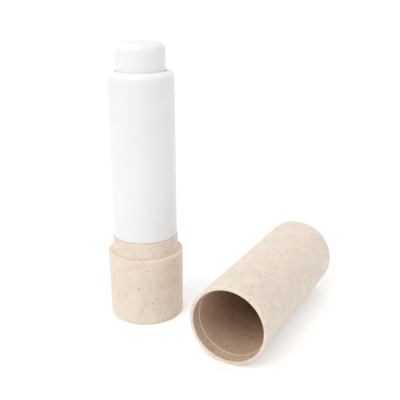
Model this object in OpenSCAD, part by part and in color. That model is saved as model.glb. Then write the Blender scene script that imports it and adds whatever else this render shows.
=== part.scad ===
// Lip balm stick with its cap taken off and lying beside it.
// The stick stands on its base at the origin. The cap lies on its side along +Y.
// All sizes are in millimetres.
//
// How it works: two pins on the carrier pass through straight slots in the guide tube,
// which turns with the base, and reach into helical slots in the spiral sleeve, which
// turns with the barrel. Turning the barrel against the base lifts the carrier and the balm.

/* [Balm] */
// Diameter of the balm
balm_d = 11.9; // [9.5:0.1:14.5]
// Radius of the balm's rounded top edge
balm_edge_r = 1.9; // [0.5:0.05:3]
// Radius of the gentle dome on the balm's top
dome_r = 28; // [15:1:80]
// How far the balm's top stays below the barrel's top when wound down
balm_sink = 0.6; // [0:0.1:3]
// How far the balm is wound up from its lowest place
raised = 7.5; // [0:0.5:20]

/* [Carrier] */
// Wall of the carrier cup round the balm
carrier_wall = 0.38; // [0.3:0.01:1]
// Floor of the carrier cup
carrier_floor = 1; // [0.6:0.1:2]
// Height of the carrier cup
carrier_h = 6.6; // [5:0.1:10]
// Height of the pins above the carrier's underside
pin_rise = 1.6; // [1.2:0.1:3]
// Diameter of each pin
pin_d = 1.6; // [1:0.02:2]
// Clearance all round a pin in its slots
pin_gap = 0.15; // [0.1:0.05:0.3]
// Diameter of the vent in the carrier's floor
vent_d = 3; // [1:0.5:5]
// Number of grip ribs inside the carrier cup
rib_count = 6; // [3:1:10]
// How far each grip rib stands into the balm
rib_depth = 0.4; // [0.2:0.1:0.8]
// Width of each grip rib
rib_w = 0.5; // [0.3:0.1:1]
// How far the grip ribs stop below the cup's rim
rib_short = 0.5; // [0.2:0.1:2]

/* [Guide tube] */
// Wall of the guide tube
guide_wall = 0.45; // [0.35:0.05:1]
// Depth of the guide tube's seat inside the neck
guide_seat = 8; // [5:0.5:12]
// Height of the snap bead round the top of the guide tube
bead_h = 0.9; // [0.6:0.1:1.5]
// How far the snap bead stands out from the tube
bead_out = 0.35; // [0.2:0.05:0.4]
// Free height between the guide tube's top and the barrel's lip
bead_room = 0.7; // [0.3:0.1:1.5]

/* [Spiral sleeve] */
// Wall of the spiral sleeve
sleeve_wall = 0.45; // [0.35:0.05:1]
// Rise of the helical slots in one whole turn
lead = 24; // [16:1:40]
// Width of the plain ring below the helical slots
end_ring = 1.8; // [1:0.1:4]

/* [Barrel] */
// Height of the barrel
barrel_h = 41.1; // [34:0.1:55]
// Wall of the barrel at its top
barrel_wall = 0.6; // [0.5:0.05:1.5]
// How much wider the barrel is at its foot, on the radius
barrel_draft = 0.1; // [0:0.05:0.3]
// Radius of the barrel's rounded shoulder
shoulder_r = 1.5; // [0.5:0.1:1.7]
// Thickness of the lip that covers the sleeve's upper end
lip_t = 1.5; // [1:0.1:2.5]
// Clearance on the radius between the balm and the lip
lip_gap = 0.2; // [0.1:0.05:0.3]
// Radius of the lip's inner edge
lip_edge_r = 0.25; // [0.1:0.05:0.4]

/* [Base] */
// Height of the base's outer shell
base_h = 17.5; // [14:0.5:26]
// Width of the shell's rim that shows round the neck, where the cap's mouth rests
rim_w = 1.27; // [0.8:0.01:2.5]
// Floor of the shell
shell_floor = 1.5; // [1:0.1:3]
// How much narrower the shell is at its foot, on the radius
shell_draft = 0.2; // [0:0.05:0.4]
// Radius of the shell's bottom edge
foot_r = 0.6; // [0.2:0.1:0.7]
// Radius of the shell's rim edge
rim_r = 0.25; // [0.1:0.05:0.4]

/* [Neck] */
// Height of the neck above the shell's rim
neck_h = 4.2; // [3.5:0.1:10]
// How far the neck stands out from the barrel's foot
neck_step = 0.18; // [0.05:0.01:0.5]
// How far the neck's shoulder laps over the shell's rim, on the radius
seat_lap = 0.25; // [0.2:0.05:0.5]
// Radius of the neck's top edge
neck_edge_r = 0.2; // [0.1:0.05:0.4]
// Thickness of the ledge that carries the guide tube
ledge_t = 1.5; // [1:0.1:3]
// How far the ledge reaches inside the guide tube's bore
ledge_in = 1.4; // [0.6:0.1:3]
// Wall of the neck insert's hollow foot
insert_wall = 1.2; // [0.8:0.1:2]

/* [Cap] */
// Thickness of the cap's closed end
cap_end_t = 1.2; // [0.8:0.1:3]
// Clearance between the barrel's top and the closed end when the cap is on
cap_head_gap = 0.9; // [0.3:0.1:3]
// Clearance on the radius between the neck and the cap's gripping land
cap_fit_gap = 0.05; // [0.02:0.01:0.15]
// How much narrower the cap's bore is at its closed end, on the radius
cap_bore_draft = 0.1; // [0:0.05:0.15]
// Depth of the wider mouth inside the cap
mouth_depth = 2.7; // [1:0.1:2.8]
// How much wider the mouth is than the gripping land, on the radius
mouth_step = 0.3; // [0.1:0.05:0.5]
// Length of the cap's straight gripping land
land_h = 3; // [1.5:0.5:6]
// Radius of the cap's closed-end edge
cap_edge_r = 0.8; // [0.2:0.1:1.1]
// Radius of the cap's two mouth edges
mouth_edge_r = 0.25; // [0.1:0.05:0.4]

/* [Placing] */
// Sideways place of the cap's axis
cap_x = 30.3; // [24:0.1:60]
// Place of the cap's mouth along Y
cap_mouth_y = -14.75; // [-60:0.05:40]

/* [Fits] */
// Running clearance on the radius between tubes that turn or slide
run_gap = 0.1; // [0.05:0.01:0.2]
// Running clearance between end faces
face_gap = 0.1; // [0.05:0.05:0.3]
// Clearance left between the carrier and the barrel's lip at full height
stop_gap = 0.3; // [0.2:0.1:1]

/* [Hidden] */
$fn = 96;
wheat = [0.90, 0.83, 0.74];
white = [0.95, 0.95, 0.95];
inner_white = [0.87, 0.88, 0.90];
ivory = [0.98, 0.97, 0.94];
// Overshoot of a cutter past the face that it opens
over = 0.5;
// Turn covered by each straight piece of a helical slot, in degrees
slot_step = 10;
// Length of such a piece as a multiple of its share of the slot, so that neighbours overlap
slot_lap = 1.08;

// Radii, from the balm outwards
balm_r = balm_d / 2;
pin_r = pin_d / 2;
carrier_r = balm_r + carrier_wall;
guide_bore_r = carrier_r + run_gap;
guide_r = guide_bore_r + guide_wall;
sleeve_bore_r = guide_r + run_gap;
sleeve_r = sleeve_bore_r + sleeve_wall;
barrel_top_r = sleeve_r + barrel_wall;
barrel_foot_r = barrel_top_r + barrel_draft;
lip_r = balm_r + lip_gap;
neck_r = barrel_foot_r + neck_step;
ledge_r = guide_bore_r - ledge_in;
insert_r = neck_r - seat_lap;
base_r = neck_r + rim_w;
base_foot_r = base_r - shell_draft;
cap_r = base_r;
land_r = neck_r + cap_fit_gap;
mouth_r = land_r + mouth_step;

// Heights, from the floor upwards
neck_z = base_h + neck_h;
guide_z = neck_z - guide_seat;
barrel_z = neck_z + face_gap;
top_z = barrel_z + barrel_h;
lip_z = top_z - lip_t;
guide_top_z = lip_z - bead_room;
bead_z = guide_top_z - bead_h;
sleeve_top_z = bead_z - face_gap;

// Travel of the pins and their place at rest
slot_r = pin_r + pin_gap;
pin_low_z = barrel_z + end_ring + slot_r;
pin_high_z = lip_z - stop_gap - (carrier_h - pin_rise);
travel = pin_high_z - pin_low_z;
pin_z = pin_low_z + raised;
carrier_z = pin_z - pin_rise;
balm_z = carrier_z + carrier_floor;
balm_top_z = top_z - balm_sink + raised;

// The cap covers the neck and the barrel
cap_len = neck_h + face_gap + barrel_h + cap_head_gap + cap_end_t;
cap_bore_len = cap_len - cap_end_t;

echo(balm_top = balm_top_z, barrel_top = top_z, cap_length = cap_len, travel = travel);
echo(turn_down = -360 * raised / lead, turn_up = 360 * (travel - raised) / lead);
echo(barrel_r = barrel_top_r, neck_r = neck_r, base_r = base_r, land_r = land_r, mouth_r = mouth_r);

// The waste outside a rounded corner at (x, y), where out gives the corner's outward direction
module corner_waste(x, y, r, out) {
    difference() {
        translate([x + (out.x > 0 ? -r : -over), y + (out.y > 0 ? -r : -over)])
            square(r + over);
        translate([x - out.x * r, y - out.y * r]) circle(r = r);
    }
}

// A plain tube between two heights
module tube(outer, bore, z0, z1) {
    translate([0, 0, z0])
        difference() {
            cylinder(r = outer, h = z1 - z0);
            translate([0, 0, -over]) cylinder(r = bore, h = z1 - z0 + 2 * over);
        }
}

// A rod across the stick's axis, along X, from one radius to another
module cross_rod(r, from, to, z) {
    translate([from, 0, z]) rotate([0, 90, 0]) cylinder(r = r, h = to - from);
}

// Outer shell of the base: a cup, drafted outside and straight inside
module base_shell() {
    color(wheat)
        difference() {
            rotate_extrude()
                difference() {
                    polygon([[0, 0], [base_foot_r, 0], [base_r, base_h], [0, base_h]]);
                    corner_waste(base_foot_r, 0, foot_r, [1, -1]);
                    corner_waste(base_r, base_h, rim_r, [1, 1]);
                }
            translate([0, 0, shell_floor]) cylinder(r = insert_r, h = base_h);
        }
}

// Insert that fills the shell, sits with a shoulder on its rim, stands out above it as the neck
// and carries the guide tube
module neck_insert() {
    color(wheat)
        difference() {
            rotate_extrude()
                difference() {
                    union() {
                        translate([0, shell_floor]) square([insert_r, neck_z - shell_floor]);
                        translate([0, base_h]) square([neck_r, neck_h]);
                    }
                    corner_waste(neck_r, neck_z, neck_edge_r, [1, 1]);
                }
            translate([0, 0, guide_z]) cylinder(r = guide_r, h = guide_seat + over);
            translate([0, 0, shell_floor]) cylinder(r = ledge_r, h = guide_seat + guide_z);
            translate([0, 0, shell_floor - over])
                cylinder(r = insert_r - insert_wall, h = guide_z - ledge_t - shell_floor + over);
        }
}

// Guide tube with two straight slots for the pins and a snap bead round its top
module guide_tube() {
    color(inner_white)
        difference() {
            union() {
                tube(guide_r, guide_bore_r, guide_z, guide_top_z);
                rotate_extrude()
                    difference() {
                        translate([guide_bore_r, bead_z])
                            square([guide_wall + bead_out, bead_h]);
                        corner_waste(guide_r + bead_out, guide_top_z, bead_out / 2, [1, 1]);
                    }
            }
            for (z = [pin_low_z, pin_high_z])
                cross_rod(slot_r, -guide_r - over, guide_r + over, z);
            translate([-guide_r - over, -slot_r, pin_low_z])
                cube([2 * (guide_r + over), 2 * slot_r, travel]);
        }
}

// One helical slot, as short straight pieces that follow the helix between round ends
module helical_slot() {
    steps = ceil(360 * travel / lead / slot_step);
    rise = travel / steps;
    run = (sleeve_bore_r + sleeve_r) * PI * rise / lead;
    length = sqrt(rise * rise + run * run);
    for (i = [0 : steps - 1]) {
        z = pin_low_z + (i + 0.5) * rise;
        rotate([0, 0, -360 * (z - pin_z) / lead])
            translate([guide_r, 0, z])
                rotate([-atan2(rise, run), 0, 0])
                    translate([0, -slot_lap * length / 2, -slot_r])
                        cube([sleeve_wall + 2 * over, slot_lap * length, 2 * slot_r]);
    }
    for (z = [pin_low_z, pin_high_z])
        rotate([0, 0, -360 * (z - pin_z) / lead])
            cross_rod(slot_r, guide_r, sleeve_r + over, z);
}

// Spiral sleeve: a tube with two helical slots half a turn apart
module spiral_sleeve() {
    color(inner_white)
        difference() {
            tube(sleeve_r, sleeve_bore_r, barrel_z, sleeve_top_z);
            for (start = [0, 180])
                rotate([0, 0, start]) helical_slot();
        }
}

// Barrel: the white outer tube, with a rounded shoulder and a lip over the sleeve
module barrel() {
    color(white)
        rotate_extrude()
            difference() {
                polygon([[sleeve_r, barrel_z], [barrel_foot_r, barrel_z], [barrel_top_r, top_z],
                         [lip_r, top_z], [lip_r, lip_z], [sleeve_r, lip_z]]);
                corner_waste(barrel_top_r, top_z, shoulder_r, [1, 1]);
                corner_waste(lip_r, top_z, lip_edge_r, [-1, 1]);
            }
}

// Ribs on the carrier's inside that key the balm to it
module grip_ribs() {
    for (i = [0 : rib_count - 1])
        rotate([0, 0, 360 * i / rib_count])
            translate([balm_r - rib_depth, -rib_w / 2, balm_z])
                cube([rib_depth + carrier_wall / 2, rib_w, carrier_h - carrier_floor - rib_short]);
}

// The two pins, with ends that follow the barrel's bore
module pins() {
    intersection() {
        cross_rod(pin_r, -sleeve_r, sleeve_r, pin_z);
        tube(sleeve_r - run_gap, balm_r + carrier_wall / 2, pin_z - pin_d, pin_z + pin_d);
    }
}

// Carrier: the cup that holds the balm, with its two pins
module carrier_cup() {
    color(inner_white)
        difference() {
            union() {
                tube(carrier_r, balm_r, carrier_z, carrier_z + carrier_h);
                translate([0, 0, carrier_z]) cylinder(r = carrier_r, h = carrier_floor);
                grip_ribs();
                pins();
            }
            translate([0, 0, carrier_z - over]) cylinder(d = vent_d, h = carrier_floor + 2 * over);
        }
}

// Half outline of the balm: straight sides, a rounded edge and a gentle dome that meet smoothly
module balm_outline() {
    edge_x = balm_r - balm_edge_r;
    dome_z = balm_top_z - dome_r;
    edge_z = dome_z + sqrt(pow(dome_r - balm_edge_r, 2) - pow(edge_x, 2));
    meet_x = edge_x * dome_r / (dome_r - balm_edge_r);
    translate([0, balm_z]) square([balm_r, edge_z - balm_z]);
    translate([edge_x, edge_z]) circle(r = balm_edge_r);
    intersection() {
        translate([0, edge_z]) square([meet_x, balm_edge_r + dome_r]);
        translate([0, dome_z]) circle(r = dome_r);
    }
}

// Balm, moulded to the ribs of its carrier
module balm() {
    color(ivory)
        difference() {
            rotate_extrude() balm_outline();
            grip_ribs();
        }
}

// Cap standing on its mouth: a straight outside, a wider mouth, the gripping land, then a drafted bore
module standing_cap() {
    rotate_extrude()
        difference() {
            square([cap_r, cap_len]);
            polygon([[0, -over], [mouth_r, -over], [mouth_r, mouth_depth - mouth_step],
                     [land_r, mouth_depth], [land_r, mouth_depth + land_h],
                     [land_r - cap_bore_draft, cap_bore_len], [0, cap_bore_len]]);
            corner_waste(cap_r, cap_len, cap_edge_r, [1, 1]);
            corner_waste(cap_r, 0, mouth_edge_r, [1, -1]);
            corner_waste(mouth_r, 0, mouth_edge_r, [-1, -1]);
        }
}

// Cap, lying on its side with its mouth towards the viewer
module cap() {
    color(wheat)
        translate([cap_x, cap_mouth_y, cap_r])
            rotate([-90, 0, 0])
                standing_cap();
}

base_shell();
neck_insert();
guide_tube();
spiral_sleeve();
barrel();
carrier_cup();
balm();
cap();
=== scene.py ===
"""The visible finish of a lip balm stick that stands beside its own cap.

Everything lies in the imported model's frame: the stick stands on its base at the origin with its
axis up Z, and the cap lies on its side along Y with its mouth towards -Y. Outlines are written in
millimetres as (radius, height) about a piece's axis, and turned into surfaces in metres.
"""
import math

import bpy
import numpy as np
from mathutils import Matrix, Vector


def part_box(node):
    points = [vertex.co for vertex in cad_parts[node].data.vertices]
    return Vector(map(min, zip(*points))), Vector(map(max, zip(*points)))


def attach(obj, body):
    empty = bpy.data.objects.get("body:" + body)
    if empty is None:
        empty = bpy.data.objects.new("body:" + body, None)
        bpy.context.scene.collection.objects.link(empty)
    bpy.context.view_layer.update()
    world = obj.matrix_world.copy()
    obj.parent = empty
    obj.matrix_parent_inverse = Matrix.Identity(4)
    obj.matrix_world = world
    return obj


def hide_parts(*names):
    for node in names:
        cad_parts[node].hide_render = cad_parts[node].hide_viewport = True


MM = 0.001
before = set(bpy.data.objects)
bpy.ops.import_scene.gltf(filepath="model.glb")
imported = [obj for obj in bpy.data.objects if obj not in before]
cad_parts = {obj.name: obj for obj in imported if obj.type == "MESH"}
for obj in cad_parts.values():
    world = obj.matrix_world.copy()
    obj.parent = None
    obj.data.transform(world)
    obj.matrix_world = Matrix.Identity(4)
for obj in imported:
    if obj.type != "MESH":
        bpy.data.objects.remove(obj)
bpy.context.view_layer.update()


# Sizes in millimetres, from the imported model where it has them

def span(node):
    """The lowest and highest corner of a CAD node, in millimetres."""
    low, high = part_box(node)
    return np.array(low) / MM, np.array(high) / MM


# Base shell, with a moulded recess under its foot
BASE_R, BASE_H = span("base_shell")[1][[0, 2]]
BASE_DRAFT = 0.2
FOOT_EDGE_R = 0.6
RIM_EDGE_R = 0.25
SHELL_CORNER_R = 0.2
RECESS_R = 7.0
RECESS_LEAN = 0.15
RECESS_DEPTH = 0.4
RECESS_CORNER_R = 0.12

# Neck insert
INSERT_Z = span("neck_insert")[0][2]
NECK_R, NECK_Z = span("neck_insert")[1][[0, 2]]
SEAT_LAP = 0.25
INSERT_R = NECK_R - SEAT_LAP
INSERT_WALL = 1.2
NECK_EDGE_R = 0.2
NECK_CREASE_R = 0.07
NECK_BORE_EDGE_R = 0.15
GUIDE_R = 6.88
GUIDE_SEAT = 8
GUIDE_Z = NECK_Z - GUIDE_SEAT
LEDGE_R = 5.03
LEDGE_T = 1.5
LEDGE_CORNER_R = 0.3

# Barrel
BARREL_Z = span("barrel")[0][2]
BARREL_FOOT_R, BARREL_TOP = span("barrel")[1][[0, 2]]
BARREL_DRAFT = 0.1
SHOULDER_R = 1.5
SLEEVE_R = 7.43
LIP_R = 6.15
LIP_T = 1.5
LIP_EDGE_R = 0.25

# Balm, with the ribs of its carrier
BALM_Z = span("balm")[0][2]
BALM_R, BALM_TOP = span("balm")[1][[0, 2]]
BALM_EDGE_R = 1.9
EDGE_POINTS = 16
DOME_R = 28
DOME_POINTS = 20
RIBS = 6
RIB_H = 5.1
RIB_W = 0.5
RIB_DEPTH = 0.4

# Cap, with a gate mark in a dimple on its closed end
CAP_LOW, CAP_HIGH = span("cap")
CAP_R = (CAP_HIGH[0] - CAP_LOW[0]) / 2
CAP_X = (CAP_HIGH[0] + CAP_LOW[0]) / 2
CAP_MOUTH_Y = CAP_LOW[1]
CAP_LEN = CAP_HIGH[1] - CAP_LOW[1]
CAP_END_T = 1.2
CAP_EDGE_R = 0.8
MOUTH_R = 8.66
MOUTH_EDGE_R = 0.25
MOUTH_DRAFT = 0.11
MOUTH_DEPTH = 2.7
MOUTH_STEP_H = 0.05
LAND_R = 8.36
LAND_H = 3
LAND_END_R = 0.5
BORE_END_R = 8.26
BORE_CORNER_R = 0.6
DIMPLE_R = 1.8
DIMPLE_LEAN = 0.12
DIMPLE_DEPTH = 0.35

# Stub that the mould's gate leaves, on the base and on the cap
GATE_R = 0.55
GATE_FOOT_R = 0.65
BASE_GATE_H = 0.18
CAP_GATE_H = 0.2

# Faint lines that the turned mould core leaves in the cap: at these depths in the mouth, each with
# how far the draft has drawn the wall in, and at these depths in the bore
MOUTH_LINES = ((0.9, 0.03), (1.6, 0.06))
BORE_LINES = (9.0, 12.4, 16.6)
LINE_HALF_W = 0.12
LINE_DEPTH = 0.04

# Rounding of the other edges
CRISP = 0.05
FINE = 0.08
PLAIN = 0.1

# How finely surfaces are divided: columns round the axis, degrees of turn to a point on an arc, how
# close to a straight run's ends a point holds the shading, and what counts as the same height
COLUMNS = 224
ARC_STEP = 9.0
HOLD = 0.06
NEAR = 0.001


# Surfaces

def outline_through(corners, spacing=1.0):
    """A path through corners of (radius, height, round). A corner with no third value stays sharp.

    At a corner whose two sides enclose the angle w, the arc of radius q starts and ends
    q / tan(w / 2) from the corner and turns about the point q / sin(w / 2) along the bisector.
    Straight runs are divided evenly, with one more point close to each end to hold the shading.
    """
    points = np.array([c[:2] for c in corners], float)
    rounds = [c[2] if len(c) > 2 else 0.0 for c in corners]
    runs = []
    for i, (here, q) in enumerate(zip(points, rounds)):
        if q <= 0 or i in (0, len(points) - 1):
            runs.append(here[None])
            continue
        back, ahead = points[i - 1] - here, points[i + 1] - here
        back, ahead = back / np.linalg.norm(back), ahead / np.linalg.norm(ahead)
        half = math.acos(np.clip(back @ ahead, -1, 1)) / 2
        bisector = (back + ahead) / np.linalg.norm(back + ahead)
        centre = here + bisector * q / math.sin(half)
        start = here + back * q / math.tan(half) - centre
        sweep = math.pi - 2 * half
        side = np.sign(start[0] * (here - centre)[1] - start[1] * (here - centre)[0])
        a = side * np.linspace(0, sweep, max(4, int(math.degrees(sweep) / ARC_STEP) + 2))
        runs.append(centre + np.stack([start[0] * np.cos(a) - start[1] * np.sin(a),
                                       start[0] * np.sin(a) + start[1] * np.cos(a)], 1))
    path = [runs[0]]
    for run in runs[1:]:
        a, b = path[-1][-1], run[0]
        length = np.linalg.norm(b - a)
        hold = min(HOLD, length / 4)
        t = np.concatenate([[hold / length],
                            np.linspace(0, 1, max(2, int(length / spacing) + 2))[1:-1],
                            [1 - hold / length]])
        path += [a + (b - a) * np.sort(t)[:, None], run]
    return np.concatenate(path)


def ring_outline(corners):
    """The closed path of a ring, from the middle of its last side, so that every corner rounds."""
    a, b = np.array(corners[-1][:2]), np.array(corners[0][:2])
    middle = tuple((a + b) / 2)
    return outline_through([middle, *corners, middle])[:-1]


def angles(extra):
    """Column angles of a turned surface: evenly spaced, with extra ones put in between."""
    even = np.linspace(0, 2 * np.pi, COLUMNS, endpoint=False)
    return np.unique(np.concatenate([even, np.mod(np.array(extra, float), 2 * np.pi)]))


def grid_faces(rows, columns, ring):
    """Quads of a grid whose columns join round the axis, and whose rows join too on a ring."""
    i = np.arange(rows if ring else rows - 1)[:, None]
    j = np.arange(columns)[None]
    k, m = (i + 1) % rows, (j + 1) % columns
    quads = np.stack([i * columns + j, i * columns + m, k * columns + m, k * columns + j], -1)
    return quads.reshape(-1, 4)


def pole_fans(rows, columns, first, last):
    """Triangles from the point first to a grid's first row, and from the point last to its last."""
    j = np.arange(columns)
    after = (j + 1) % columns
    end = (rows - 1) * columns
    return np.concatenate([np.stack([np.full_like(j, first), after, j], 1),
                           np.stack([np.full_like(j, last), end + j, end + after], 1)])


def enclosed(vertices, quads, fans):
    """Signed volume inside the faces, the sum of a . (b x c) / 6 over their triangles."""
    tris = np.concatenate([quads[:, [0, 1, 2]], quads[:, [0, 2, 3]], fans])
    a, b, c = (vertices[tris[:, n]] for n in range(3))
    return np.einsum("ij,ij->i", a, np.cross(b, c)).sum() / 6


def turned(name, outline, ring=False, extra=(), relief=None, lying=False):
    """Surface of revolution: row i, column j lies at (r_i cos t_j, r_i sin t_j, z_i).

    relief, if given, is added to the radius as a function of (angle, radius, height) arrays. A
    ring's outline joins its own start; any other starts and ends on the axis, where one point
    closes each pole. A lying piece maps (x, y, z) to (cap_x + x, mouth_y + z, cap_r - y).
    """
    turn = angles(extra)
    rows = slice(None) if ring else slice(1, -1)
    r = np.repeat(outline[rows, 0][:, None], len(turn), 1)
    z = np.repeat(outline[rows, 1][:, None], len(turn), 1)
    t = np.repeat(turn[None], len(r), 0)
    if relief is not None:
        r = r + relief(t, r, z)
    vertices = np.stack([r * np.cos(t), r * np.sin(t), z], -1).reshape(-1, 3)
    quads = grid_faces(len(r), len(turn), ring)
    fans = np.zeros((0, 3), int)
    if not ring:
        fans = pole_fans(len(r), len(turn), len(vertices), len(vertices) + 1)
        poles = np.array([[0, 0, outline[0, 1]], [0, 0, outline[-1, 1]]])
        vertices = np.concatenate([vertices, poles])
    if enclosed(vertices, quads, fans) < 0:
        quads, fans = quads[:, ::-1], fans[:, ::-1]
    if lying:
        x, y, z = vertices.T
        vertices = np.stack([CAP_X + x, CAP_MOUTH_Y + z, CAP_R - y], 1)
    mesh = bpy.data.meshes.new(name)
    mesh.from_pydata((vertices * MM).tolist(), [], quads.tolist() + fans.tolist())
    mesh.polygons.foreach_set("use_smooth", np.ones(len(mesh.polygons), bool))
    mesh.update()
    piece = bpy.data.objects.new(name, mesh)
    bpy.context.scene.collection.objects.link(piece)
    return piece


# Shader expressions

class Signal:
    """An output socket that takes part in Python's arithmetic.

    Each operation adds one Math node, or a Vector Math node where a vector takes part.
    """

    def __init__(self, finish, socket):
        self.finish, self.socket = finish, socket
        self.vector = socket.type in ("VECTOR", "RGBA")

    def _with(self, operation, *values):
        vector = any(isinstance(v, Signal) and v.vector for v in values)
        kind = "ShaderNodeVectorMath" if vector else "ShaderNodeMath"
        made = self.finish.node(kind, {"operation": operation}, dict(enumerate(values)))
        return made["Vector"] if vector else made["Value"]

    def _product(self, other):
        across = isinstance(other, tuple) or isinstance(other, Signal) and other.vector
        if self.vector and not across:
            return self.finish.node("ShaderNodeVectorMath", {"operation": "SCALE"},
                                    {0: self, "Scale": other})["Vector"]
        if isinstance(other, Signal) and other.vector and not self.vector:
            return other._product(self)
        return self._with("MULTIPLY", self, other)

    def __add__(self, other):
        return self._with("ADD", self, other)

    __radd__ = __add__

    def __sub__(self, other):
        return self._with("SUBTRACT", self, other)

    def __rsub__(self, other):
        return self._with("SUBTRACT", other, self)

    def __mul__(self, other):
        return self._product(other)

    __rmul__ = __mul__

    def __truediv__(self, other):
        return self._product(1 / other)

    def __rtruediv__(self, other):
        return self._with("DIVIDE", other, self)

    def __pow__(self, power):
        return self._with("POWER", self, power)

    def dot(self, other):
        return self.finish.node("ShaderNodeVectorMath", {"operation": "DOT_PRODUCT"},
                                {0: self, 1: other})["Value"]

    def unit(self):
        return self._with("NORMALIZE", self)

    def fraction(self):
        return self._with("FRACT", self)

    def at_most(self, other):
        return self._with("MINIMUM", self, other)

    def at_least(self, other):
        return self._with("MAXIMUM", self, other)

    def rise(self, low, high):
        """0 up to low and 1 from high on, with a smooth step between. It falls if low is higher."""
        return self.finish.node("ShaderNodeMapRange", {"interpolation_type": "SMOOTHSTEP"},
                                {"Value": self, "From Min": low, "From Max": high,
                                 "To Min": 0.0, "To Max": 1.0})["Result"]


class Finish:
    """A material whose pattern is laid out in millimetres about its piece's own axis."""

    # How far cell points stray from an even grid, as a share of the most that they can
    FLECK_SCATTER = 0.8
    # The least size and strength of a fleck, as a share of the most
    FLECK_LEAST = 0.4
    # The depth, in cells, that counts as one width
    FLECK_DEPTH = 0.3
    # How far a fleck's edge is blurred to each side, in widths
    FLECK_BLUR = 0.35
    # Features of the ragged edge's noise to one width
    FLECK_WAVES = 0.7
    # The soft step between cells with and without a fleck ends at this part of their share
    FLECK_STEP = 0.98

    def __init__(self, name, centre=(0, 0, 0), tilt=0.0):
        self.material = bpy.data.materials.new(name)
        self.material.use_nodes = True
        self.tree = self.material.node_tree
        self.tree.nodes.clear()
        coordinates = self.node("ShaderNodeTexCoord")
        turn = (math.radians(tilt), 0, 0)
        self.place = self.node("ShaderNodeMapping", {"vector_type": "POINT"},
                               {"Vector": coordinates["Object"], "Location": centre,
                                "Rotation": turn, "Scale": (1 / MM,) * 3})["Vector"]
        self.normal = self.node("ShaderNodeMapping", {"vector_type": "VECTOR"},
                                {"Vector": coordinates["Normal"], "Rotation": turn})["Vector"]

    def node(self, kind, settings=None, inputs=None):
        """Adds a node: its settings first, then each input, found by number, identifier or name.

        Returns its outputs by name and by identifier.
        """
        made = self.tree.nodes.new(kind)
        for key, value in (settings or {}).items():
            setattr(made, key, value)
        for key, value in (inputs or {}).items():
            if isinstance(key, int):
                socket = made.inputs[key]
            else:
                socket = next(s for s in made.inputs if key in (s.identifier, s.name))
            if isinstance(value, Signal):
                self.tree.links.new(value.socket, socket)
            else:
                socket.default_value = value
        return {key: Signal(self, socket) for socket in reversed(made.outputs)
                for key in (socket.name, socket.identifier)}

    def noise(self, per_mm, detail=2.0, roughness=0.5, shift=(0, 0, 0), stretch=None):
        """Noise with so many features to a millimetre, moved by shift so that layers differ."""
        at = self.place + shift
        if stretch:
            at = at * stretch
        return self.node("ShaderNodeTexNoise", {},
                         {"Vector": at, "Scale": per_mm, "Detail": detail,
                          "Roughness": roughness})["Fac"]

    def parts(self, vector):
        """The three numbers of a vector."""
        found = self.node("ShaderNodeSeparateXYZ", {}, {"Vector": vector})
        return found["X"], found["Y"], found["Z"]

    def mix(self, share, a, b):
        """Colour a where share is 0 and colour b where it is 1."""
        return self.node("ShaderNodeMix", {"data_type": "RGBA"},
                         {"Factor_Float": share, "A_Color": a, "B_Color": b})["Result_Color"]

    def flecks(self, cell, share, width, reach=0.0, ragged=0.0, shift=(0, 0, 0)):
        """Mask of flecks in a share of the cells, one to a cell: 0 outside a fleck, up to 1 inside.

        c is the nearest cell point, n the surface's normal and d a random direction laid into
        the surface. Of the offset from c, the part q along the surface is measured to the
        segment c - reach d to c + reach d, and the depth below the surface is added to it as
        the other side of a right angle, so that deeper flecks show smaller. The edge of the
        largest flecks lies where this distance is width.
        """
        at = (self.place + shift) / cell
        found = self.node("ShaderNodeTexVoronoi", {"feature": "F1"},
                          {"Vector": at, "Scale": 1.0, "Randomness": self.FLECK_SCATTER})

        def drawn(weights):
            """A number from 0 to 1 that differs from cell to cell, from the cell's own colour."""
            return found["Color"].dot(weights).fraction()

        chance = drawn((13.1, 7.7, 5.3))
        size = drawn((3.9, 17.3, 11.9)) * (1 - self.FLECK_LEAST) + self.FLECK_LEAST
        strength = drawn((23.0, 3.1, 9.7)) * (1 - self.FLECK_LEAST) + self.FLECK_LEAST
        offset = (at - found["Position"]) * cell
        depth = offset.dot(self.normal)
        flat = offset - self.normal * depth
        if reach:
            aim = found["Color"] - (0.5, 0.5, 0.5)
            aim = (aim - self.normal * aim.dot(self.normal)).unit()
            flat = flat - aim * flat.dot(aim).at_most(reach).at_least(-reach)
        away = flat.dot(flat) + (depth * (width / (self.FLECK_DEPTH * cell))) ** 2
        away = away ** 0.5
        if ragged:
            away = away + (self.noise(self.FLECK_WAVES / width, shift=shift) - 0.5) * ragged
        blur = self.FLECK_BLUR * width
        shade_share = (size * width - away).rise(-blur, blur)
        return shade_share * strength * chance.rise(share, share * self.FLECK_STEP)

    def surface(self, colour, roughness, height, relief, **constants):
        """Ends the material in a Principled shader, with relief in metres for a height of 1."""
        bump = self.node("ShaderNodeBump", {},
                         {"Strength": 1.0, "Distance": relief, "Height": height})
        inputs = {"Base Color": colour, "Roughness": roughness, "Normal": bump["Normal"]}
        inputs.update({key.replace("_", " "): value for key, value in constants.items()})
        shader = self.node("ShaderNodeBsdfPrincipled", {}, inputs)
        self.node("ShaderNodeOutputMaterial", {}, {"Surface": shader["BSDF"]})
        return self.material


def shade(red, green, blue):
    """A colour as written in 0 to 255, as the linear values that a shader takes."""
    c = np.array([red, green, blue]) / 255
    linear = np.where(c <= 0.04045, c / 12.92, ((c + 0.055) / 1.055) ** 2.4)
    return (*linear.tolist(), 1.0)


# Finishes

# Moves the neck's pattern away from the base's, and lays the cap's along the lying cap's axis
NECK_CENTRE = (40, 25, 60)
CAP_CENTRE = (-CAP_X, CAP_R, -CAP_MOUTH_Y)
CAP_TILT = 90
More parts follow.
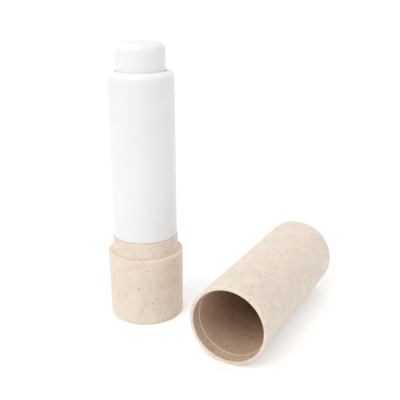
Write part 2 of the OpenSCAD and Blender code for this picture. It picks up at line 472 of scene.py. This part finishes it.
# The cap's inside gets a tan painted shade out to this radius and in to this depth, both within
# its walls. The painted shade fades out this much to each side of the radius and this far past the
# depth, and is deepest from the last depth on
PAINTED_SHADE_R = 8.8
PAINTED_SHADE_R_FADE = 0.05
PAINTED_SHADE_DEPTH = 46.7
PAINTED_SHADE_DEPTH_FADE = 0.2
PAINTED_SHADE_DEEPEST = 22.0


def painted_bore_shade(f, radius, depth):
    """Where a piece with its mouth at z = 0 is inside, and the tan of painted shade, deeper further
    in, that multiplies its colour.
    """
    x, y, z = f.parts(f.place)
    shade_share = (x * x + y * y).rise((radius + PAINTED_SHADE_R_FADE) ** 2, (radius - PAINTED_SHADE_R_FADE) ** 2)
    shade_share = shade_share * z.rise(depth + PAINTED_SHADE_DEPTH_FADE, depth)
    return shade_share, f.mix(z.rise(0.0, PAINTED_SHADE_DEEPEST), shade(233, 218, 206), shade(222, 203, 192))


def straw_plastic(name, centre=(0, 0, 0), tilt=0.0, bore=None):
    """Satin plastic filled with ground straw: a mottled beige ground, pale and tan fibres laid
    along the surface, and sparse brown flecks with a little fine pepper.

    bore is a radius and a depth. Inside them the colour is darkened to tan as painted shade, and
    deeper tan further in.
    """
    f = Finish(name, centre, tilt)
    drift = f.noise(0.20, 2.0, shift=(7, 3, 1)).rise(0.36, 0.64)
    mottle = f.noise(0.9, 3.0, 0.6, shift=(1, 9, 4))
    grain = f.noise(3.2, 3.0, 0.6, shift=(5, 2, 8))
    pale = f.flecks(1.7, 0.60, 0.06, reach=0.45, shift=(31, 5, 2))
    tan = f.flecks(1.9, 0.50, 0.07, reach=0.40, ragged=0.06, shift=(3, 41, 8))
    brown = f.flecks(1.3, 0.42, 0.17, reach=0.14, ragged=0.26, shift=(11, 13, 57))
    large = f.flecks(2.3, 0.34, 0.21, reach=0.26, ragged=0.36, shift=(47, 23, 5))
    pepper = f.flecks(0.75, 0.34, 0.07, ragged=0.05, shift=(71, 17, 19))
    colour = f.mix(drift, shade(232, 217, 202), shade(237, 224, 208))
    for mask, tone in (
            (mottle.rise(0.50, 0.76) * 0.45, shade(238, 226, 212)),
            (mottle.rise(0.50, 0.26) * 0.40, shade(206, 185, 164)),
            (grain.rise(0.56, 0.34) * 0.22, shade(196, 172, 148)),
            (pale * 0.60, shade(246, 238, 226)),
            (tan * 0.60, shade(180, 150, 120)),
            (pepper * 0.50, shade(158, 130, 106)),
            (brown * 0.62, shade(142, 117, 98)),
            (large * 0.55, shade(136, 112, 95))):
        colour = f.mix(mask, colour, tone)
    # Painted shade in the bore: the colour there is multiplied by a tan that deepens further in
    if bore:
        shade_share, bore_shade = painted_bore_shade(f, *bore)
        colour = f.mix(shade_share, colour, colour * bore_shade)
    marks = pale + tan + brown + large
    height = grain * 0.5 + f.noise(7.0, 2.0, shift=(5, 5, 5)) * 0.2 + marks * 0.25
    roughness = mottle * 0.10 + grain * 0.08 + marks * 0.06 + 0.30
    return f.surface(colour, roughness, height, 1.4e-5, Specular_IOR_Level=0.5)


def white_plastic(name):
    """Smooth white moulded plastic, with a faint orange peel and faint changes of gloss."""
    f = Finish(name)
    cloud = f.noise(0.12, 2.0, shift=(4, 2, 9))
    peel = f.noise(0.9, 2.0, shift=(2, 8, 3))
    rub = f.noise(0.5, 3.0, shift=(9, 1, 7), stretch=(1.0, 1.0, 0.12))
    colour = f.mix(cloud.rise(0.3, 0.7), shade(242, 243, 244), shade(245, 246, 247))
    roughness = rub.rise(0.35, 0.7) * 0.10 + 0.30
    return f.surface(colour, roughness, peel, 6e-6, Specular_IOR_Level=0.45,
                     Subsurface_Weight=0.25, Subsurface_Radius=(1.0, 1.0, 1.0),
                     Subsurface_Scale=0.0016)


def balm_wax(name):
    """Poured white balm: soft, a little translucent, with faint slow waves and a few pinholes."""
    f = Finish(name)
    wave = f.noise(0.25, 1.0, shift=(3, 3, 6))
    haze = f.noise(1.2, 3.0, shift=(8, 6, 2))
    holes = f.flecks(1.9, 0.22, 0.06, shift=(21, 3, 15))
    colour = f.mix(haze.rise(0.3, 0.7), shade(239, 239, 239), shade(242, 242, 242))
    colour = f.mix(holes * 0.30, colour, shade(218, 216, 211))
    roughness = haze.rise(0.3, 0.7) * 0.10 + 0.38
    height = wave * 1.2 + haze * 0.25 - holes * 0.5
    return f.surface(colour, roughness, height, 1.2e-5, Specular_IOR_Level=0.4,
                     Subsurface_Weight=0.35, Subsurface_Radius=(1.0, 1.0, 0.98),
                     Subsurface_Scale=0.0012)


def natural_plastic(name):
    """Unfilled inner plastic: cool milky white, glossy, with faint draw lines along the axis."""
    f = Finish(name)
    flow = f.noise(0.6, 3.0, shift=(6, 1, 2), stretch=(1.0, 1.0, 0.08))
    colour = f.mix(flow.rise(0.3, 0.7), shade(222, 226, 230), shade(232, 235, 237))
    roughness = flow.rise(0.3, 0.7) * 0.12 + 0.22
    return f.surface(colour, roughness, flow, 8e-6, Specular_IOR_Level=0.5,
                     Subsurface_Weight=0.3, Subsurface_Radius=(1.0, 1.0, 1.0),
                     Subsurface_Scale=0.001)


# Pieces

def dress(piece, body, node, material):
    """Gives a piece its finish and the body it rides on, and hides the CAD node that it stands for.
    """
    piece.data.materials.append(material)
    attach(piece, body)
    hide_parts(node)


def gate_stub(floor, rise):
    """Corners of the gate's stub on the axis, from its tip to the floor that it stands on."""
    return [(0, floor + rise), (GATE_R, floor + rise, FINE), (GATE_FOOT_R, floor, FINE)]


def base_cup():
    """Shell of the base, with a shallow recess and a gate mark under its foot."""
    return turned("base_cup", outline_through([
        *gate_stub(RECESS_DEPTH, -BASE_GATE_H), (RECESS_R, RECESS_DEPTH, RECESS_CORNER_R),
        (RECESS_R + RECESS_LEAN, 0, PLAIN), (BASE_R - BASE_DRAFT, 0, FOOT_EDGE_R),
        (BASE_R, BASE_H, RIM_EDGE_R), (INSERT_R, BASE_H, FINE),
        (INSERT_R, INSERT_Z, SHELL_CORNER_R), (0, INSERT_Z)]))


def neck_ring():
    """Insert that fills the shell and stands out above its rim as the neck."""
    foot_r = INSERT_R - INSERT_WALL
    ledge_z = GUIDE_Z - LEDGE_T
    return turned("neck_ring", ring_outline([
        (INSERT_R, INSERT_Z, PLAIN), (INSERT_R, BASE_H), (NECK_R, BASE_H, NECK_CREASE_R),
        (NECK_R, NECK_Z, NECK_EDGE_R), (GUIDE_R, NECK_Z, NECK_BORE_EDGE_R), (GUIDE_R, GUIDE_Z),
        (LEDGE_R, GUIDE_Z, PLAIN), (LEDGE_R, ledge_z, PLAIN), (foot_r, ledge_z, LEDGE_CORNER_R),
        (foot_r, INSERT_Z)]), ring=True)


def barrel_tube():
    """White outer tube with a rounded shoulder and a lip over the inner tubes."""
    lip_z = BARREL_TOP - LIP_T
    return turned("barrel_tube", ring_outline([
        (BARREL_FOOT_R, BARREL_Z, CRISP), (BARREL_FOOT_R - BARREL_DRAFT, BARREL_TOP, SHOULDER_R),
        (LIP_R, BARREL_TOP, LIP_EDGE_R), (LIP_R, lip_z, PLAIN), (SLEEVE_R, lip_z, PLAIN),
        (SLEEVE_R, BARREL_Z, PLAIN)]), ring=True)


def balm_stick():
    """Balm with a gentle dome, a rounded edge and grooves where the carrier's ribs grip its foot.

    The edge's circle lies inside the dome's and touches it, so its centre is the dome's radius less
    the edge's from the dome's centre. Both arcs end where the line through the centres meets them.
    """
    edge_x = BALM_R - BALM_EDGE_R
    dome_z = BALM_TOP - DOME_R
    edge_z = dome_z + math.sqrt((DOME_R - BALM_EDGE_R) ** 2 - edge_x ** 2)
    lean = math.atan2(edge_z - dome_z, edge_x)
    edge = np.linspace(0, lean, EDGE_POINTS)[:, None]
    dome = np.linspace(lean, math.pi / 2, DOME_POINTS)[1:, None]
    side = outline_through([(0, BALM_Z), (BALM_R, BALM_Z, PLAIN), (BALM_R, BALM_Z + RIB_H),
                            (BALM_R, edge_z)], spacing=1.2)[:-1]
    outline = np.concatenate([
        side,
        np.hstack([edge_x + BALM_EDGE_R * np.cos(edge), edge_z + BALM_EDGE_R * np.sin(edge)]),
        np.hstack([DOME_R * np.cos(dome), dome_z + DOME_R * np.sin(dome)])])
    half = math.asin(RIB_W / 2 / BALM_R)
    # Radians from a groove's last column of points to the one beside it on the wall
    brink = 0.006
    centres = np.arange(RIBS) * 2 * np.pi / RIBS
    edges = (centres[:, None] + np.array([-half - brink, -half, half, half + brink])).ravel()

    def groove(t, r, z):
        """Minus the rib's depth within a rib's half width, on the wall below the ribs' tops."""
        off = np.abs((t + np.pi / RIBS) % (2 * np.pi / RIBS) - np.pi / RIBS)
        wall = (z <= BALM_Z + RIB_H + NEAR) & (r > BALM_R - RIB_DEPTH)
        return np.where(wall & (off < half + brink / 2), BALM_R - RIB_DEPTH - r, 0.0)

    return turned("balm_stick", outline, extra=edges, relief=groove)


def turning_line(r, depth):
    """Corners of one shallow V groove, at a depth in a bore whose radius there is r."""
    return [(r, depth - LINE_HALF_W, CRISP), (r + LINE_DEPTH, depth, CRISP),
            (r, depth + LINE_HALF_W, CRISP)]


def cap_body():
    """Cap: a wider mouth, the gripping land, a drafted bore, faint turning lines, and a gate mark
    in the middle of its closed end."""
    inner_end = CAP_LEN - CAP_END_T
    land_end = MOUTH_DEPTH + LAND_H
    dimple_floor = CAP_LEN - DIMPLE_DEPTH
    narrowing = (LAND_R - BORE_END_R) / (inner_end - land_end)
    mouth = [corner for depth, drawn_in in MOUTH_LINES
             for corner in turning_line(MOUTH_R - drawn_in, depth)]
    bore = [corner for depth in BORE_LINES
            for corner in turning_line(LAND_R - narrowing * (depth - land_end), depth)]
    return turned("cap_body", outline_through([
        *gate_stub(dimple_floor, CAP_GATE_H), (DIMPLE_R, dimple_floor, PLAIN),
        (DIMPLE_R + DIMPLE_LEAN, CAP_LEN, PLAIN), (CAP_R, CAP_LEN, CAP_EDGE_R),
        (CAP_R, 0, MOUTH_EDGE_R), (MOUTH_R, 0, MOUTH_EDGE_R), *mouth,
        (MOUTH_R - MOUTH_DRAFT, MOUTH_DEPTH - MOUTH_STEP_H, CRISP), (LAND_R, MOUTH_DEPTH, FINE),
        (LAND_R, land_end, LAND_END_R), *bore, (BORE_END_R, inner_end, BORE_CORNER_R),
        (0, inner_end)]), lying=True)


dress(base_cup(), "base", "base_shell", straw_plastic("straw_base"))
dress(neck_ring(), "base", "neck_insert",
      straw_plastic("straw_neck", NECK_CENTRE))
dress(barrel_tube(), "barrel", "barrel", white_plastic("white_barrel"))
dress(balm_stick(), "balm_carrier", "balm", balm_wax("white_balm"))
# The cap's bore gets a painted shade, darker tan further in
dress(cap_body(), "cap", "cap",
      straw_plastic("straw_cap", CAP_CENTRE, CAP_TILT, bore=(PAINTED_SHADE_R, PAINTED_SHADE_DEPTH)))

natural = natural_plastic("natural_inner")
for node in ("guide_tube", "spiral_sleeve", "carrier_cup"):
    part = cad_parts[node]
    part.data.materials.clear()
    part.data.materials.append(natural)


# Camera, light and floor

# The photograph's view: sensor, lens and the camera's place in millimetres, and the degrees that it
# looks down from level and round from +Y towards -X
SENSOR = 36
LENS = 58.30
CAMERA_PLACE = (83.8, -131.6, 82.5)
CAMERA_DOWN = 18.53
CAMERA_ROUND = 27.33

# The floor's grey, and its half width in metres
FLOOR_GREY = 0.84
FLOOR_HALF_WIDTH = 30.0


def make_camera():
    """The camera that the photograph was taken from."""
    data = bpy.data.cameras.new("camera")
    data.sensor_width, data.lens = SENSOR, LENS
    data.clip_start, data.clip_end = 0.005, 60
    camera = bpy.data.objects.new("camera", data)
    camera.location = [c * MM for c in CAMERA_PLACE]
    camera.rotation_euler = (math.radians(90 - CAMERA_DOWN), 0, math.radians(CAMERA_ROUND))
    bpy.context.scene.collection.objects.link(camera)
    bpy.context.scene.camera = camera


def make_sun(name, azimuth, elevation, strength, spread):
    """A soft lamp seen from the object at azimuth degrees from -Y towards +X, elevation above the
    floor and spread degrees across."""
    data = bpy.data.lights.new(name, "SUN")
    data.energy, data.angle = strength, math.radians(spread)
    lamp = bpy.data.objects.new(name, data)
    lamp.rotation_euler = (math.radians(90 - elevation), 0, math.radians(azimuth))
    bpy.context.scene.collection.objects.link(lamp)


def seen(tree):
    """1 for rays that the camera, a reflection or a clear material sends out, else 0."""
    path = tree.nodes.new("ShaderNodeLightPath")
    total = path.outputs["Is Camera Ray"]
    for name in ("Is Glossy Ray", "Is Transmission Ray"):
        most = tree.nodes.new("ShaderNodeMath")
        most.operation = "MAXIMUM"
        tree.links.new(total, most.inputs[0])
        tree.links.new(path.outputs[name], most.inputs[1])
        total = most.outputs["Value"]
    return total


def make_world(level):
    """An even studio dome: white where it is seen, and at the given level where it lights."""
    world = bpy.data.worlds.new("studio")
    bpy.context.scene.world = world
    world.use_nodes = True
    tree = world.node_tree
    background = next(n for n in tree.nodes if n.type == "BACKGROUND")
    background.inputs["Color"].default_value = (1, 1, 1, 1)
    strength = tree.nodes.new("ShaderNodeMapRange")
    strength.inputs["To Min"].default_value = level
    strength.inputs["To Max"].default_value = 1.0
    tree.links.new(seen(tree), strength.inputs["Value"])
    tree.links.new(strength.outputs["Result"], background.inputs["Strength"])


def make_floor(lift):
    """A wide pale floor. Where it is seen, lift is added, so it is white outside the shadows."""
    size = FLOOR_HALF_WIDTH
    mesh = bpy.data.meshes.new("floor")
    mesh.from_pydata([(-size, -size, 0), (size, -size, 0), (size, size, 0), (-size, size, 0)],
                     [], [(0, 1, 2, 3)])
    floor = bpy.data.objects.new("floor", mesh)
    bpy.context.scene.collection.objects.link(floor)
    material = bpy.data.materials.new("floor_white")
    material.use_nodes = True
    tree = material.node_tree
    tree.nodes.clear()
    diffuse = tree.nodes.new("ShaderNodeBsdfDiffuse")
    diffuse.inputs["Color"].default_value = (FLOOR_GREY, FLOOR_GREY, FLOOR_GREY, 1)
    glow = tree.nodes.new("ShaderNodeEmission")
    strength = tree.nodes.new("ShaderNodeMath")
    strength.operation = "MULTIPLY"
    strength.inputs[1].default_value = lift
    tree.links.new(seen(tree), strength.inputs[0])
    tree.links.new(strength.outputs["Value"], glow.inputs["Strength"])
    both = tree.nodes.new("ShaderNodeAddShader")
    tree.links.new(diffuse.outputs["BSDF"], both.inputs[0])
    tree.links.new(glow.outputs["Emission"], both.inputs[1])
    out = tree.nodes.new("ShaderNodeOutputMaterial")
    tree.links.new(both.outputs["Shader"], out.inputs["Surface"])
    mesh.materials.append(material)


make_camera()
make_sun("key", azimuth=-13, elevation=46, strength=0.98, spread=40)
make_world(level=0.81)
make_floor(lift=0.30)
bpy.context.scene.view_settings.view_transform = "Standard"
